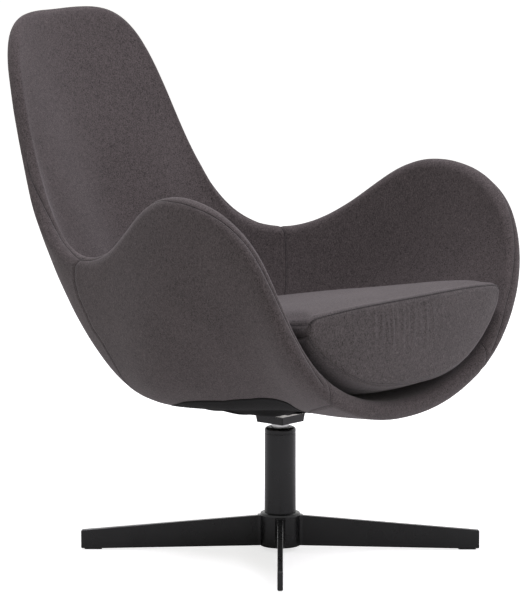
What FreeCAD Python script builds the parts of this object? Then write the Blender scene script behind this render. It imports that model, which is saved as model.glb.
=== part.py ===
import FreeCAD, Part
import os
from math import cos, sin, pi, radians, hypot

# Pedestal swivel armchair. Units are millimetres.
# The origin is on the floor under the middle of the chair, +Z is up and the seat faces -Y.
# Everything is drawn round the swivel axis and moved into place when it is saved.

V = FreeCAD.Vector
os.makedirs("parts", exist_ok=True)

# Swivel column, from the floor up
AXIS_Y = -112.0
PAD_THICK = 2.0
HUB_R, HUB_HIGH, HUB_FLOOR_THICK = 37.0, 62.0, 8.0
TUBE_R, TUBE_WALL, TUBE_LONG = 28.5, 3.0, 200.0
CAP_HIGH, POST_SHOWN = 12.0, 9.0
POST_R, SPIGOT_R, SPINDLE_R = 16.0, 13.0, 9.0
RUN = 0.08
DISC_THICK = 5.0
SEAT_FIT = 0.05

# Star base of four flat legs, shown turned against the seat
LEG_REACH, LEG_THICK = 364.0, 10.0
LEG_TIP_HIGH, LEG_ROOT_HIGH = 36.0, 56.0
LEG_LET_IN = 4.0
BASE_TURN = 50.0

# Swivel head under the seat
TRAY_TOP, TRAY_LOW, TRAY_HIGH, TRAY_WALL = 66.0, 62.0, 14.9, 3.0
PLATE_SIDE, PLATE_THICK = 100.0, 3.0
CUP_TOP, CUP_LOW, CUP_DEEP = 74.0, 67.0, 9.3
BOLT_PITCH, BOLT_R, HEAD_ACROSS, HEAD_H = 84.0, 3.0, 10.0, 4.0
NUT_ACROSS, NUT_HIGH = 10.0, 5.0
BOARD_X, BOARD_Y, BOARD_THICK, BOARD_R = 170.0, 200.0, 12.0, 30.0
BOARD_SHIFT = 50.0
COVER_THICK, COVER_SAG, OPENING_R = 1.2, 7.0, 72.0
COVER_REACH = 0.06

# Heights that follow from the stack above
HUB_LOW = PAD_THICK + 6.0
HUB_TOP = HUB_LOW + HUB_HIGH
HUB_FLOOR = HUB_LOW + HUB_FLOOR_THICK
TUBE_TOP = HUB_FLOOR + TUBE_LONG
CAP_TOP = TUBE_TOP + CAP_HIGH
TRAY_Z = CAP_TOP + POST_SHOWN
CUP_Z = TRAY_Z + TRAY_HIGH + 0.1
PLATE_Z = CUP_Z + CUP_DEEP
BOARD_Z = PLATE_Z + PLATE_THICK + 0.2

# Tub: a rim joined by curved ribs to a flat bottom ring. Each list runs from the top
# of the back (station 0) round to the middle of the front lip (station 10).
SHELL_THICK = 34.0
RIM = [(0, 549, 657), (137, 526, 668), (189, 478, 572), (212, 414, 406), (245, 336, 260),
       (272, 197, 236), (322, 79, 304), (368, -39, 421), (375, -269, 356), (301, -288, 80),
       (0, -284, -22)]
RIB_END = [(0, -62, -251), (-15, -57, -220), (-28, -51, -196), (-37, -47, -179),
           (-40, -44, -177), (-38, -43, -193), (-26, -39, -232), (-15, -21, -240),
           (-21, 14, -139), (-26, 56, -26), (0, 83, 7)]
RIB_REACH = [131, 118, 105, 96, 93, 99, 121, 144, 135, 112, 93]
RIB_ANGLE = [90, 84, 75, 65, 46, 34, 12, -13, -39, -71, -90]
RING_Y, RING_RX, RING_RY = 73.4, 115.0, 133.0
RING_Z = BOARD_Z + 0.4 + SHELL_THICK / 2
STATIONS = 10
COLUMNS = 80

# Loose seat cushion; heights are above the tub's bottom ring
CUSHION_GAP = 2.0
SEAT_FRONT_Y, SEAT_FRONT_UP, SEAT_RAKE = -302.0, 210.0, 0.16
PANEL_HALF, PANEL_Y, PANEL_BOW = 270.0, -322.0, 28.0
PANEL_TOP_UP, PANEL_TOP_FALL = 220.0, 24.0
PANEL_LOW_UP, PANEL_LOW_RISE = 64.0, 115.0
CORNER = 8.6
SIDE_HIGH, TIP_HIGH = 62.0, 17.0
CROWN, BULGE = 20.0, 7.0
CORE_R, CORE_Y = 70.0, -20.0


def save(shape, name):
    placed = shape.copy()
    placed.translate(V(0, AXIS_Y, 0))
    placed.exportStep("parts/" + name + ".step")


def cylinder(r, z0, z1, x=0.0, y=0.0):
    return Part.makeCylinder(r, z1 - z0, V(x, y, z0))


def ring(r_out, r_in, z0, z1, x=0.0, y=0.0):
    return cylinder(r_out, z0, z1, x, y).cut(cylinder(r_in, z0 - 1, z1 + 1, x, y))


def revolve(outline):
    pts = [V(r, 0, z) for r, z in outline]
    return Part.Face(Part.makePolygon(pts + pts[:1])).revolve(V(0, 0, 0), V(0, 0, 1), 360)


def square(side, z):
    h = side / 2.0
    return Part.makePolygon([V(-h, -h, z), V(h, -h, z), V(h, h, z), V(-h, h, z), V(-h, -h, z)])


def tapered(side0, z0, side1, z1):
    return Part.makeLoft([square(side0, z0), square(side1, z1)], True, True)


def mirrored(half, sign=-1):
    """Close a half list (centre plane to centre plane) into the whole loop."""
    return half + [(sign * p[0], p[1], p[2]) for p in half[-2:0:-1]]


RIM_LOOP = mirrored(RIM)
END_LOOP = mirrored(RIB_END)
TURN = [radians(a) for a in RIB_ANGLE]
OUT_LOOP = mirrored([(r * cos(a), r * sin(a), 0) for r, a in zip(RIB_REACH, TURN)])
RING_LOOP = mirrored([(RING_RX * cos(a), RING_RY * sin(a), 0) for a in TURN])


def blend(loop, t):
    """Smooth closed curve steered by the loop's points."""
    i = int(t // 1)
    f = t - i
    w = ((1 - f) ** 3 / 6, (3 * f ** 3 - 6 * f * f + 4) / 6,
         (-3 * f ** 3 + 3 * f * f + 3 * f + 1) / 6, f ** 3 / 6)
    n = len(loop)
    return V(*[sum(w[k] * loop[(i - 1 + k) % n][axis] for k in range(4)) for axis in range(3)])


def middle(t, r):
    """Point on the tub's middle surface: station t, r = 0 at the bottom ring, 1 at the rim."""
    start = blend(RING_LOOP, t) + V(0, RING_Y, RING_Z)
    rim = blend(RIM_LOOP, t) + V(0, 0, RING_Z)
    a, b = start + blend(OUT_LOOP, t), rim + blend(END_LOOP, t)
    q = 1 - r
    return start * q ** 3 + a * (3 * q * q * r) + b * (3 * q * r * r) + rim * r ** 3


def normal(t, r):
    """Unit vector square to the middle surface, towards the sitter."""
    if r < 1e-6:
        return V(0, 0, 1)
    d = 0.001
    along = middle(t, r + d) - middle(t, r - d)
    return (middle(t + d, r) - middle(t - d, r)).cross(along).normalize()


def skin(t, r, offset):
    return middle(t, r) + normal(t, r) * offset


def rim_round(t, angle):
    """Half-round edge of the tub; -90 is the outside, 90 the inside."""
    n, tip = normal(t, 1), middle(t, 1)
    out = (tip - middle(t, 0.97)).normalize()
    h = SHELL_THICK / 2
    return tip + n * (h * sin(radians(angle))) + out * (h * cos(radians(angle)))


def curve_through(points):
    curve = Part.BSplineCurve()
    curve.interpolate(Points=points)
    return curve.toShape()


def solid(faces):
    shell = Part.Shell(faces)
    shell.sewShape()
    body = Part.Solid(shell)
    if body.Volume < 0:
        body.reverse()
    return body


def skinned(sections, closed=False):
    """Ruled skin from section to section; open sections end on two flat faces."""
    faces = []
    for one, two in zip(sections, sections[1:] + sections[:1]):
        faces += [Part.makeRuledSurface(a, b) for a, b in zip(one, two)]
    if not closed:
        for end in (0, -1):
            pts = [s[end].Vertexes[end].Point for s in sections]
            faces.append(Part.Face(Part.makePolygon(pts + pts[:1])))
    return solid(faces)


def rounded_block(sx, sy, r, z0, z1, y=0.0):
    block = Part.makeBox(sx, sy, z1 - z0, V(-sx / 2, y - sy / 2, z0))
    return block.makeFillet(r, [e for e in block.Edges if abs(e.tangentAt(0).z) > 0.9])


def tub():
    """Moulded and upholstered tub with a shallow recess for the seat board."""
    h = SHELL_THICK / 2
    sections = []
    for k in range(COLUMNS):
        t = k * 2.0 * STATIONS / COLUMNS
        outer = curve_through([skin(t, r / 7.0, -h) for r in range(8)])
        inner = curve_through([skin(t, 1 - r / 7.0, h) for r in range(8)])
        edge = Part.Arc(rim_round(t, -90), rim_round(t, 0), rim_round(t, 90)).toShape()
        sections.append([outer, edge, inner])
    body = skinned(sections)
    pocket = rounded_block(BOARD_X + 1, BOARD_Y + 1, BOARD_R, BOARD_Z - 50,
                           BOARD_Z + BOARD_THICK + 0.3, BOARD_SHIFT)
    return body.cut(pocket)


def seat_plane(y):
    return RING_Z + SEAT_FRONT_UP - (y - SEAT_FRONT_Y) * SEAT_RAKE


def on_wall(t, drop, gap):
    """How far up the rib the lining is `drop` below the seat plane."""
    lo, hi = 0.0, 1.0
    for _ in range(24):
        mid = (lo + hi) / 2
        p = skin(t, mid, gap)
        lo, hi = (mid, hi) if p.z < seat_plane(p.y) - drop else (lo, mid)
    return lo


def ease(f):
    f = min(max(f, 0.0), 1.0)
    return f * f * (3 - 2 * f)


def panel_edges(k):
    """Upper and lower seam of the leaf-shaped front panel, k = 0 middle, 1 tip."""
    y = PANEL_Y + PANEL_BOW * k * k
    return (V(PANEL_HALF * k, y, RING_Z + PANEL_TOP_UP - PANEL_TOP_FALL * k * k),
            V(PANEL_HALF * k, y + 4, RING_Z + PANEL_LOW_UP + PANEL_LOW_RISE * k ** 2.4))


def cushion_edges(t):
    """Upper seam, lower seam and the part of the rib that the underside covers."""
    gap = SHELL_THICK / 2 + CUSHION_GAP
    if t > CORNER:
        top, low = panel_edges((STATIONS - t) / (STATIONS - CORNER))
        return top, low, 0.8
    high = SIDE_HIGH + (TIP_HIGH - SIDE_HIGH) * (t / CORNER) ** 3
    r_top, r_low = on_wall(t, 0, gap), on_wall(t, high, gap)
    top, low = skin(t, r_top, gap), skin(t, r_low, gap)
    tip_top, tip_low = panel_edges(1.0)
    end_top, end_low = skin(CORNER, on_wall(CORNER, 0, gap), gap), skin(
        CORNER, on_wall(CORNER, TIP_HIGH, gap), gap)
    w = ease((t - 6.4) / (CORNER - 6.4))
    return (top + (tip_top - end_top) * w, low + (tip_low - end_low) * w,
            r_low + (0.8 - on_wall(CORNER, TIP_HIGH, gap)) * w)


def cushion():
    """Loose cushion: crowned top, drawn-in sides, leaf-shaped front panel between two seams."""
    gap = SHELL_THICK / 2 + CUSHION_GAP
    half = [CORNER * k / 14 for k in range(14)]
    half += [CORNER + (STATIONS - CORNER) * k / 8 for k in range(9)]
    sections = []
    for t in half:
        top, low, reach = cushion_edges(t)
        d = hypot(top.x, top.y - CORE_Y)
        core = V(top.x / d * CORE_R, CORE_Y + (top.y - CORE_Y) / d * CORE_R, 0)
        out = V(low.x * 0.5, low.y, 0).normalize() * (BULGE if t > CORNER else 0.0)

        def under(f):
            return skin(t, reach * f, gap) + (low - skin(t, reach, gap)) * (f * f)

        def over(f):
            p = top + (core - top) * f
            lift = (top.z - seat_plane(top.y)) * (1 - f) ** 2 + CROWN * (1 - (1 - f) ** 2.6)
            return V(p.x, p.y, seat_plane(p.y) + lift)

        sections.append([curve_through([under(k / 6.0) for k in range(7)]),
                         curve_through([low, (low + top) * 0.5 + out, top]),
                         curve_through([over(k / 6.0) for k in range(7)])])
    faces = []
    for one, two in zip(sections, sections[1:]):
        faces += [Part.makeRuledSurface(a, b) for a, b in zip(one, two)]
    faces += [f.mirror(V(0, 0, 0), V(1, 0, 0)) for f in faces]
    for end in (0, -1):
        pts = [s[end].Vertexes[end].Point for s in sections]
        pts += [V(-p.x, p.y, p.z) for p in pts[-2:0:-1]]
        faces.append(Part.Face(Part.makePolygon(pts + pts[:1])))
    return solid(faces)


def dust_cover():
    """Thin cloth stretched under the seat board, with a round opening for the swivel head."""
    levels = ((0, 0), (0.12, COVER_SAG * 0.6), (0.4, COVER_SAG), (1, COVER_SAG * 0.85))
    sections = []
    for k in range(COLUMNS // 2):
        t = k * 4.0 * STATIONS / COLUMNS
        rim, a = skin(t, COVER_REACH, -SHELL_THICK / 2), blend(RING_LOOP, t)
        d = hypot(a.x, a.y)
        hole = V(a.x / d * OPENING_R, a.y / d * OPENING_R, 0)
        high = [V(rim.x + (hole.x - rim.x) * f, rim.y + (hole.y - rim.y) * f,
                  BOARD_Z - 0.5 - sag) for f, sag in levels]
        pts = high + [p - V(0, 0, COVER_THICK) for p in reversed(high)]
        sections.append([Part.makeLine(p, q) for p, q in zip(pts, pts[1:] + pts[:1])])
    return skinned(sections, True)


def bolt_places():
    h = BOLT_PITCH / 2
    return [(h, h), (-h, h), (-h, -h), (h, -h)]


def hexagon(across, z0, z1, x, y):
    r = across / 2 / cos(radians(30))
    pts = [V(x + r * cos(radians(60 * k)), y + r * sin(radians(60 * k)), z0) for k in range(7)]
    return Part.Face(Part.makePolygon(pts)).extrude(V(0, 0, z1 - z0))


def seat_board():
    board = rounded_block(BOARD_X, BOARD_Y, BOARD_R, BOARD_Z, BOARD_Z + BOARD_THICK, BOARD_SHIFT)
    seat = BOARD_Z + BOARD_THICK - NUT_HIGH - 0.1
    for x, y in bolt_places():
        board = board.cut(cylinder(BOLT_R + 0.4, BOARD_Z - 1, seat + 9, x, y))
        board = board.cut(hexagon(NUT_ACROSS + 0.2, seat, seat + 20, x, y))
    return board


def board_nuts():
    low = BOARD_Z + BOARD_THICK - NUT_HIGH - 0.05
    return Part.makeCompound([hexagon(NUT_ACROSS, low, low + NUT_HIGH, x, y).cut(
        cylinder(BOLT_R + SEAT_FIT, low - 1, low + 20, x, y)) for x, y in bolt_places()])


def mounting_plate():
    """Pressed steel plate: square flange with a shallow square cup below it."""
    half = PLATE_SIDE / 2
    plate = Part.makeBox(PLATE_SIDE, PLATE_SIDE, PLATE_THICK, V(-half, -half, PLATE_Z))
    plate = plate.makeFillet(8, [e for e in plate.Edges if abs(e.tangentAt(0).z) > 0.9])
    cup = tapered(CUP_LOW, CUP_Z, CUP_TOP, PLATE_Z + 0.5)
    hollow = tapered(CUP_LOW - 2 * PLATE_THICK, CUP_Z + PLATE_THICK,
                     CUP_TOP - 2 * PLATE_THICK, PLATE_Z + PLATE_THICK + 1)
    plate = plate.fuse(cup).cut(hollow).cut(cylinder(SPIGOT_R + SEAT_FIT, CUP_Z - 1, BOARD_Z))
    for x, y in bolt_places():
        plate = plate.cut(cylinder(BOLT_R + 0.4, CUP_Z, BOARD_Z + 9, x, y))
    return plate.removeSplitter()


def mounting_bolts():
    high = PLATE_Z - SEAT_FIT
    return Part.makeCompound([hexagon(HEAD_ACROSS, high - HEAD_H, high, x, y).fuse(
        cylinder(BOLT_R, high, BOARD_Z + BOARD_THICK - 0.6, x, y)) for x, y in bolt_places()])


def swivel_tray():
    """Black square cup under the plate, with a welded sleeve that grips the post."""
    top = TRAY_Z + TRAY_HIGH
    cup = tapered(TRAY_LOW, TRAY_Z, TRAY_TOP, top)
    cup = cup.makeChamfer(2, [e for e in cup.Edges if e.BoundBox.ZLength > TRAY_HIGH - 1])
    cup = cup.cut(tapered(TRAY_LOW - 2 * TRAY_WALL, TRAY_Z + TRAY_WALL,
                          TRAY_TOP - 2 * TRAY_WALL, top + 0.5))
    sleeve = cylinder(SPIGOT_R + 8, TRAY_Z + 1, top - 0.4)
    return cup.fuse(sleeve).cut(cylinder(SPIGOT_R + SEAT_FIT, TRAY_Z - 1, top)).removeSplitter()


def swivel_post():
    """Turned post: spigot in the head, bearing length in the cap, slim spindle below."""
    top, low = CUP_Z + PLATE_THICK - 0.1, PAD_THICK + 1.0
    shoulder = HUB_FLOOR + 2.6 + DISC_THICK
    groove = low + 1.4
    return revolve([(0, low), (SPINDLE_R - 1, low), (SPINDLE_R - 1, groove),
                    (SPINDLE_R - 1, groove + 1.6), (SPINDLE_R, groove + 1.6),
                    (SPINDLE_R, shoulder), (POST_R, shoulder), (POST_R, TRAY_Z - SEAT_FIT),
                    (SPIGOT_R, TRAY_Z - SEAT_FIT), (SPIGOT_R, top), (0, top)])


def retaining_clip():
    z = PAD_THICK + 2.35
    clip = ring(SPINDLE_R + 3.5, SPINDLE_R - 0.95, z, z + 1.5)
    return clip.cut(Part.makeBox(40, 1.6 * SPINDLE_R - 7, 4, V(0, 3.5 - 0.8 * SPINDLE_R, z - 1)))


def column_tube():
    return ring(TUBE_R, TUBE_R - TUBE_WALL, HUB_FLOOR + SEAT_FIT, TUBE_TOP)


def column_cap():
    """Rounded bearing cap: its spigot lines the top of the tube and guides the post."""
    z, r, bore = TUBE_TOP + SEAT_FIT, TUBE_R, POST_R + RUN
    inner = TUBE_R - TUBE_WALL - SEAT_FIT
    dome = [(r - 5.5 * (1 - cos(radians(a))), CAP_TOP - 5.5 * (1 - sin(radians(a))))
            for a in (0, 30, 60, 90)]
    return revolve([(bore, z - 34), (inner, z - 34), (inner, z), (r - 1.2, z),
                    (r - 1.2, z + 1.2), (r, z + 1.2)] + dome
                   + [(bore + 3, CAP_TOP), (bore, CAP_TOP - 3)])


def lower_bush():
    """Flanged bush in the hub floor."""
    bore, z = SPINDLE_R + RUN, HUB_FLOOR
    return revolve([(bore, HUB_LOW + 0.05), (SPINDLE_R + 3, HUB_LOW + 0.05), (SPINDLE_R + 3, z + 0.02),
                    (TUBE_R - TUBE_WALL - 3.5, z + 0.02), (TUBE_R - TUBE_WALL - 3.5, z + 2.5),
                    (bore, z + 2.5)])


def leg_outline(grow=0.0):
    """Side view of one leg: distance from the axis and height."""
    tip, root = LEG_REACH, HUB_R - LEG_LET_IN - grow
    low = HUB_LOW - 0.5
    top = low + LEG_ROOT_HIGH
    slope = (top - LEG_TIP_HIGH) / (tip - HUB_R)
    return [(root, low - grow), (HUB_R, low - grow), (tip - 44, PAD_THICK),
            (tip - 1.5, PAD_THICK), (tip, PAD_THICK + 1.5), (tip, LEG_TIP_HIGH - 2.5),
            (tip - 2.5, LEG_TIP_HIGH), (HUB_R, top + grow), (root, top + LEG_LET_IN * slope + grow)]


def leg(angle, grow=0.0):
    pts = [V(-r, -LEG_THICK / 2 - grow, z) for r, z in leg_outline(grow)]
    body = Part.Face(Part.makePolygon(pts + pts[:1])).extrude(V(0, LEG_THICK + 2 * grow, 0))
    if not grow:
        body = body.makeChamfer(0.8, [e for e in body.Edges if e.Length > 0.6 * LEG_REACH])
    body.rotate(V(0, 0, 0), V(0, 0, 1), angle)
    return body


LEG_ANGLES = {"leg_front": 90 - BASE_TURN, "leg_right": 180 - BASE_TURN,
              "leg_rear": 270 - BASE_TURN, "leg_left": 360 - BASE_TURN}


def hub():
    """Turned hub with four flared seats that the legs are let into."""
    r, top = HUB_R, HUB_TOP
    body = revolve([(0, HUB_LOW), (r - 1, HUB_LOW), (r, HUB_LOW + 1), (r, top - 5),
                    (r - 1.4, top - 1.4), (r - 5, top), (0, top)])
    flare, out = LEG_THICK / 2, r + 4
    for angle in LEG_ANGLES.values():
        pts = [V(-r + 7, -flare - 5.5, 0), V(-r + 1, -flare - 4.5, 0), V(-out, -flare - 1.4, 0),
               V(-out, flare + 1.4, 0), V(-r + 1, flare + 4.5, 0), V(-r + 7, flare + 5.5, 0)]
        seat = Part.Face(Part.makePolygon(pts + pts[:1])).extrude(V(0, 0, HUB_HIGH - 6.5))
        seat.translate(V(0, 0, HUB_LOW + 1))
        seat.rotate(V(0, 0, 0), V(0, 0, 1), angle)
        body = body.fuse(seat)
    body = body.cut(cylinder(TUBE_R + SEAT_FIT, HUB_FLOOR, HUB_TOP + 9))
    body = body.cut(cylinder(SPINDLE_R + 3 + SEAT_FIT, 0, HUB_FLOOR + 9))
    for angle in LEG_ANGLES.values():
        body = body.cut(leg(angle, SEAT_FIT))
    return body.removeSplitter()


def glide_pads():
    pads = []
    for angle in LEG_ANGLES.values():
        pad = rounded_block(32, LEG_THICK - 1.6, 3, 0, PAD_THICK - SEAT_FIT)
        pad.translate(V(-LEG_REACH + 22, 0, 0))
        pad.rotate(V(0, 0, 0), V(0, 0, 1), angle)
        pads.append(pad)
    return Part.makeCompound(pads)


race_r = TUBE_R - TUBE_WALL - 3.5
save(tub(), "tub_shell")
save(cushion(), "seat_cushion")
save(seat_board(), "seat_board")
save(board_nuts(), "board_nuts")
save(mounting_plate(), "mounting_plate")
save(mounting_bolts(), "mounting_bolts")
save(dust_cover(), "dust_cover")
save(swivel_tray(), "swivel_tray")
save(swivel_post(), "swivel_post")
save(column_cap(), "column_cap")
save(column_tube(), "column_tube")
save(lower_bush(), "lower_bush")
save(ring(race_r, SPINDLE_R + 0.5, HUB_FLOOR + 2.55, HUB_FLOOR + 2.5 + DISC_THICK), "thrust_disc")
save(ring(SPINDLE_R + 9, SPINDLE_R + 0.2, HUB_LOW - 2.05, HUB_LOW - 0.1), "end_washer")
save(retaining_clip(), "retaining_clip")
save(hub(), "hub")
save(glide_pads(), "glide_pads")
for name, angle in LEG_ANGLES.items():
    save(leg(angle), name)
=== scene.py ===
from math import cos, hypot, pi, radians, sin

import bpy
import numpy as np
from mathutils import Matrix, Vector, noise
from mathutils.kdtree import KDTree


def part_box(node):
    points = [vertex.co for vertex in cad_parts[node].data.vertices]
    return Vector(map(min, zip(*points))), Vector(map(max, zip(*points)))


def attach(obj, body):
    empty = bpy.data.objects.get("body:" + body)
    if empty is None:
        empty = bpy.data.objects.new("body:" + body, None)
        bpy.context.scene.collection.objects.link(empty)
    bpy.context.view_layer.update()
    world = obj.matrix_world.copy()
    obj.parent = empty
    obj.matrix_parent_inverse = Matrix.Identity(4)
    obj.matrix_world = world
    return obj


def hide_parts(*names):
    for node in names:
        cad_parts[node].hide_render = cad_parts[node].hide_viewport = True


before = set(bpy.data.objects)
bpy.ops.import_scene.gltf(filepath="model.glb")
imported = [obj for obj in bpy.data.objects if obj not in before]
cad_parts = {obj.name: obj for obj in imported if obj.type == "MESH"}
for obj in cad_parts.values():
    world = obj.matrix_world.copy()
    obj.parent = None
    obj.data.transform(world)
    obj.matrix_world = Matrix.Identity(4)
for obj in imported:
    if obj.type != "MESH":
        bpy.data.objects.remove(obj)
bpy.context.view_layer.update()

bl_info = {
    "name": "Pedestal swivel armchair",
    "version": (1, 0, 0),
    "blender": (4, 5, 0),
    "location": "View3D > Sidebar > Armchair",
    "description": "Upholstery, metalwork and studio for a tub armchair on a swivel column",
    "category": "Add Mesh",
}

# The swivel axis stands in front of the origin; the tub is drawn round the axis.
AXIS = np.array([0.0, -0.112, 0.0])

# Tub: rim points, rib handles and bottom ring in metres, back centre to front lip.
RING_Z = 0.2819
RIM = [(0, .549, .657), (.137, .526, .668), (.189, .478, .572), (.212, .414, .406),
       (.245, .336, .260), (.272, .197, .236), (.322, .079, .304), (.368, -.039, .421),
       (.375, -.269, .356), (.301, -.288, .080), (0, -.284, -.022)]
RIB_END = [(0, -.062, -.251), (-.015, -.057, -.220), (-.028, -.051, -.196),
           (-.037, -.047, -.179), (-.040, -.044, -.177), (-.038, -.043, -.193),
           (-.026, -.039, -.232), (-.015, -.021, -.240), (-.021, .014, -.139),
           (-.026, .056, -.026), (0, .083, .007)]
RIB_REACH = [.131, .118, .105, .096, .093, .099, .121, .144, .135, .112, .093]
RIB_ANGLE = [90, 84, 75, 65, 46, 34, 12, -13, -39, -71, -90]
RING_Y, RING_RX, RING_RY = 0.0734, 0.115, 0.133
STATIONS = 10
ROUND = 2 * STATIONS

# Along the back the cover thins towards its inner edge: by what share of its half thickness,
# from which station and over how many it fades out, and how far down the rib and how sharply.
EDGE_THIN, EDGE_FROM, EDGE_RUN, EDGE_DROP, EDGE_POWER = 0.45, 2.6, 1.6, 0.42, 1.3
# The cover's underside arches up over the post, and is closed higher where the lining hides it.
ARCH_RISE, ARCH_Y, ARCH_SQUASH, ARCH_R, ARCH_POWER = 0.013, 0.03, 0.8, 0.17, 4
CLOSED_HIGHER, CLOSED_FROM, CLOSED_RUN = 0.0125, 0.3, 0.02
# Soft unevenness of the cloth, in waves of two sizes
WAVE_DEEP, WAVE_WIDE, WAVE_FINE = 0.0007, 9, 23

# Seams of the tub's cover: (station, angle round the rim) and (station, height up the rib)
RIM_SEAM = [(0, -30), (2.6, -30), (3.2, -22), (3.5, 8), (3.75, 28), (4.0, 32), (4.4, 10),
            (4.76, -28), (5.3, -25), (6, -15), (6.7, -20), (7.1, -50), (7.4, -48), (7.6, -36),
            (7.8, -22), (8.0, -8), (8.3, 4), (8.5, 14), (8.8, 26), (9.0, 10), (9.15, -12)]
SIDE_SEAM = [(4.65, .995), (4.55, .95), (4.5, .89), (4.55, .83), (4.57, .765), (4.72, .705),
             (4.82, .595), (4.8, .46), (4.76, .2), (4.74, .05)]
LINING_SEAM = [(4.93, .99), (4.95, .8), (4.95, .5), (4.95, .25)]
LIP_SEAM = [(9.3, .99), (9.29, .96), (9.28, .82), (9.24, .68), (9.2, .5), (9.2, .3)]
# Over the back the edge seam is fainter: from this height up, over this run, by this distance
FAINT_FROM, FAINT_RUN, FAINT_GAP = 0.62, 0.12, 0.0052
TUB_SEAM_WIDE, CUSHION_SEAM_WIDE, CUSHION_SEAM_DEEP = 0.0024, 0.0032, 0.0024


def closed_loop(half):
    """Both sides of the chair from the list for one side."""
    half = [np.array(p, float) for p in half]
    return np.array(half + [p * (-1, 1, 1) for p in half[-2:0:-1]])


TURN = [radians(a) for a in RIB_ANGLE]
RIM_LOOP = closed_loop(RIM) + (0, 0, RING_Z)
END_LOOP = closed_loop(RIB_END)
OUT_LOOP = closed_loop([(r * cos(a), r * sin(a), 0) for r, a in zip(RIB_REACH, TURN)])
RING_LOOP = closed_loop([(RING_RX * cos(a), RING_RY * sin(a), 0) for a in TURN])
RING_LOOP = RING_LOOP + (0, RING_Y, RING_Z)


def blend(loop, t):
    """Smooth closed curve, a cubic B-spline, steered by the loop's points."""
    t = np.asarray(t, float)
    i = np.floor(t).astype(int)
    f = (t - i)[..., None]
    weights = ((1 - f) ** 3, 3 * f ** 3 - 6 * f * f + 4,
               -3 * f ** 3 + 3 * f * f + 3 * f + 1, f ** 3)
    return sum(w * loop[(i - 1 + k) % len(loop)] for k, w in enumerate(weights)) / 6


def middle(t, r):
    """Middle surface of the tub's wall: station t, r = 0 at the bottom ring and 1 at the rim."""
    t, r = np.broadcast_arrays(np.asarray(t, float), np.asarray(r, float))
    start, rim = blend(RING_LOOP, t), blend(RIM_LOOP, t)
    a, b = start + blend(OUT_LOOP, t), rim + blend(END_LOOP, t)
    r = r[..., None]
    q = 1 - r
    return start * q ** 3 + a * (3 * q * q * r) + b * (3 * q * r * r) + rim * r ** 3


def unit(v):
    return v / np.maximum(np.linalg.norm(v, axis=-1, keepdims=True), 1e-12)


def towards_sitter(t, r):
    """Direction square to the wall, into the tub."""
    t, r = np.broadcast_arrays(np.asarray(t, float), np.asarray(r, float))
    d = 0.001
    r = np.maximum(r, 0.0005)
    along = middle(t, r + d) - middle(t, r - d)
    return unit(np.cross(middle(t + d, r) - middle(t - d, r), along))


def wall(t, r, offset):
    """Point of the wall, offset from its middle towards the sitter."""
    return middle(t, r) + towards_sitter(t, r) * offset


def rim_round(t, angle, half):
    """Half-round edge of the wall; -90 degrees is the outside and 90 the inside."""
    t, angle = np.broadcast_arrays(np.asarray(t, float), np.radians(np.asarray(angle, float)))
    n, tip = towards_sitter(t, np.ones_like(t)), middle(t, np.ones_like(t))
    out = unit(tip - middle(t, np.full_like(t, 0.97)))
    return tip + half * (n * np.sin(angle)[..., None] + out * np.cos(angle)[..., None])


def from_back(t):
    """Station counted from the back, the same on either side."""
    return np.minimum(t, ROUND - t)


def ease(f):
    """Smooth step from 0 to 1."""
    f = np.clip(f, 0, 1)
    return f * f * (3 - 2 * f)


# ---------- mesh helpers ----------

def deselect():
    for o in bpy.context.selected_objects:
        o.select_set(False)


def only(obj):
    deselect()
    obj.select_set(True)
    bpy.context.view_layer.objects.active = obj


def apply_modifiers(obj):
    only(obj)
    for m in list(obj.modifiers):
        bpy.ops.object.modifier_apply(modifier=m.name)


def new_piece(name, points, edges, faces, material):
    mesh = bpy.data.meshes.new(name)
    mesh.from_pydata(points, edges, faces)
    obj = bpy.data.objects.new(name, mesh)
    bpy.context.scene.collection.objects.link(obj)
    mesh.materials.append(material)
    return obj


def merge_and_turn_out(merge=0.0):
    """Merge the active mesh's points that are nearer than merge, and turn its faces outwards."""
    bpy.ops.object.mode_set(mode="EDIT")
    bpy.ops.mesh.select_all(action="SELECT")
    if merge:
        bpy.ops.mesh.remove_doubles(threshold=merge)
    bpy.ops.mesh.normals_make_consistent(inside=False)
    bpy.ops.object.mode_set(mode="OBJECT")


def quads(n, m, closed):
    """Faces between n rows of m points, each row a closed loop or not."""
    last = m if closed else m - 1
    return [(i * m + j, i * m + (j + 1) % m, (i + 1) * m + (j + 1) % m, (i + 1) * m + j)
            for i in range(n - 1) for j in range(last)]


def loop_skin(name, rows, material):
    """Closed skin through rows of points, each row a closed loop, with a fan at either end."""
    rows = np.asarray(rows)
    n, m = rows.shape[:2]
    points = [tuple(p) for p in (rows + AXIS).reshape(-1, 3)]
    faces = quads(n, m, True)
    for row, order in ((0, 1), (n - 1, -1)):
        points.append(tuple(rows[row].mean(axis=0) + AXIS))
        hub = len(points) - 1
        for j in range(m):
            pair = (row * m + (j + 1) % m, row * m + j)
            faces.append((hub,) + pair[::order])
    obj = new_piece(name, points, [], faces, material)
    obj.data.validate()
    only(obj)
    merge_and_turn_out()
    bpy.ops.object.shade_smooth()
    return obj


def coords(obj):
    co = np.empty(len(obj.data.vertices) * 3)
    obj.data.vertices.foreach_get("co", co)
    return co.reshape(-1, 3)


def set_coords(obj, co):
    obj.data.vertices.foreach_set("co", np.ascontiguousarray(co, float).ravel())
    obj.data.update()


def vertex_normals(obj):
    n = np.empty(len(obj.data.vertices) * 3)
    obj.data.vertices.foreach_get("normal", n)
    return n.reshape(-1, 3)


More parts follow.
